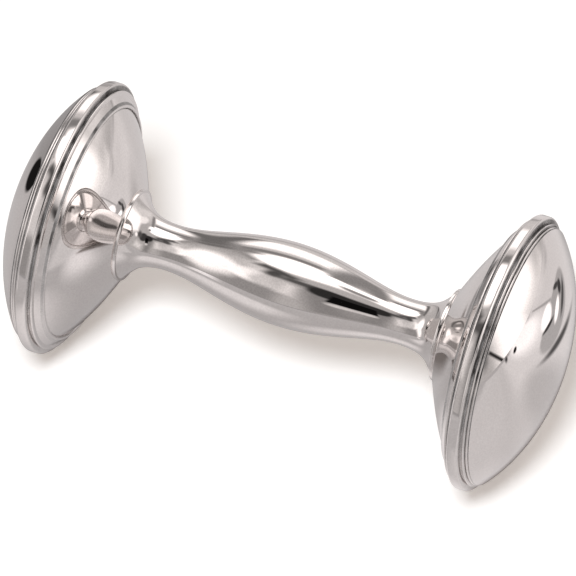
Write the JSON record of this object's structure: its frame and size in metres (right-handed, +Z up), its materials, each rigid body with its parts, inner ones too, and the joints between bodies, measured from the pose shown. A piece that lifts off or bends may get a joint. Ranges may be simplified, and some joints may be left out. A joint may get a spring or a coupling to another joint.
{
  "type": "dumbbell rattle",
  "caption": "Polished silver dumbbell rattle: a hollow baluster handle between two round hollow heads with domed fronts, reeded rims and loose pellets inside.",
  "frame": {"origin": "the middle of the handle, on the rattle's axis, which is also the middle of its bounding box", "axes": "+X along the rattle's axis from the left head to the right head, +Z up with the rattle lying on its two rims, +Y to the back"},
  "size_m": [0.0918, 0.045, 0.045],
  "materials": {
    "polished_silver": "polished silver, slightly warm, with fine hand-worn hairlines",
    "inner_silver": "dull unpolished silver sheet",
    "shot": "dull grey metal shot"
  },
  "bodies": {
    "root": {"handle_upper_half": "polished_silver", "handle_lower_half": "polished_silver", "left_seam_ring": "polished_silver", "left_throat_disc": "inner_silver", "left_funnel_shell": "polished_silver", "left_rim_band": "polished_silver", "left_dome_shell": "polished_silver", "right_seam_ring": "polished_silver", "right_throat_disc": "inner_silver", "right_funnel_shell": "polished_silver", "right_rim_band": "polished_silver", "right_dome_shell": "polished_silver"},
    "left_pellet_1": {"left_pellet_1": "shot"},
    "left_pellet_2": {"left_pellet_2": "shot"},
    "left_pellet_3": {"left_pellet_3": "shot"},
    "right_pellet_1": {"right_pellet_1": "shot"},
    "right_pellet_2": {"right_pellet_2": "shot"},
    "right_pellet_3": {"right_pellet_3": "shot"}
  },
  "joints": [
    {"name": "left_pellet_2_roll", "type": "hinge", "parent": "root", "child": "left_pellet_2", "pos_m": [-0.03677, 0, 0], "axis": [1, 0, 0], "continuous": true},
    {"name": "left_pellet_1_roll", "type": "hinge", "parent": "root", "child": "left_pellet_1", "pos_m": [-0.03677, 0, 0], "axis": [1, 0, 0], "continuous": true},
    {"name": "left_pellet_3_roll", "type": "hinge", "parent": "root", "child": "left_pellet_3", "pos_m": [-0.03677, 0, 0], "axis": [1, 0, 0], "continuous": true},
    {"name": "right_pellet_2_roll", "type": "hinge", "parent": "root", "child": "right_pellet_2", "pos_m": [0.03677, 0, 0], "axis": [1, 0, 0], "continuous": true},
    {"name": "right_pellet_1_roll", "type": "hinge", "parent": "root", "child": "right_pellet_1", "pos_m": [0.03677, 0, 0], "axis": [1, 0, 0], "continuous": true},
    {"name": "right_pellet_3_roll", "type": "hinge", "parent": "root", "child": "right_pellet_3", "pos_m": [0.03677, 0, 0], "axis": [1, 0, 0], "continuous": true}
  ],
  "couplings": [
    {"joint": "left_pellet_1_roll", "follows": "left_pellet_2_roll", "ratio": 1},
    {"joint": "left_pellet_3_roll", "follows": "left_pellet_2_roll", "ratio": 1},
    {"joint": "right_pellet_1_roll", "follows": "right_pellet_2_roll", "ratio": 1},
    {"joint": "right_pellet_3_roll", "follows": "right_pellet_2_roll", "ratio": 1}
  ]
}
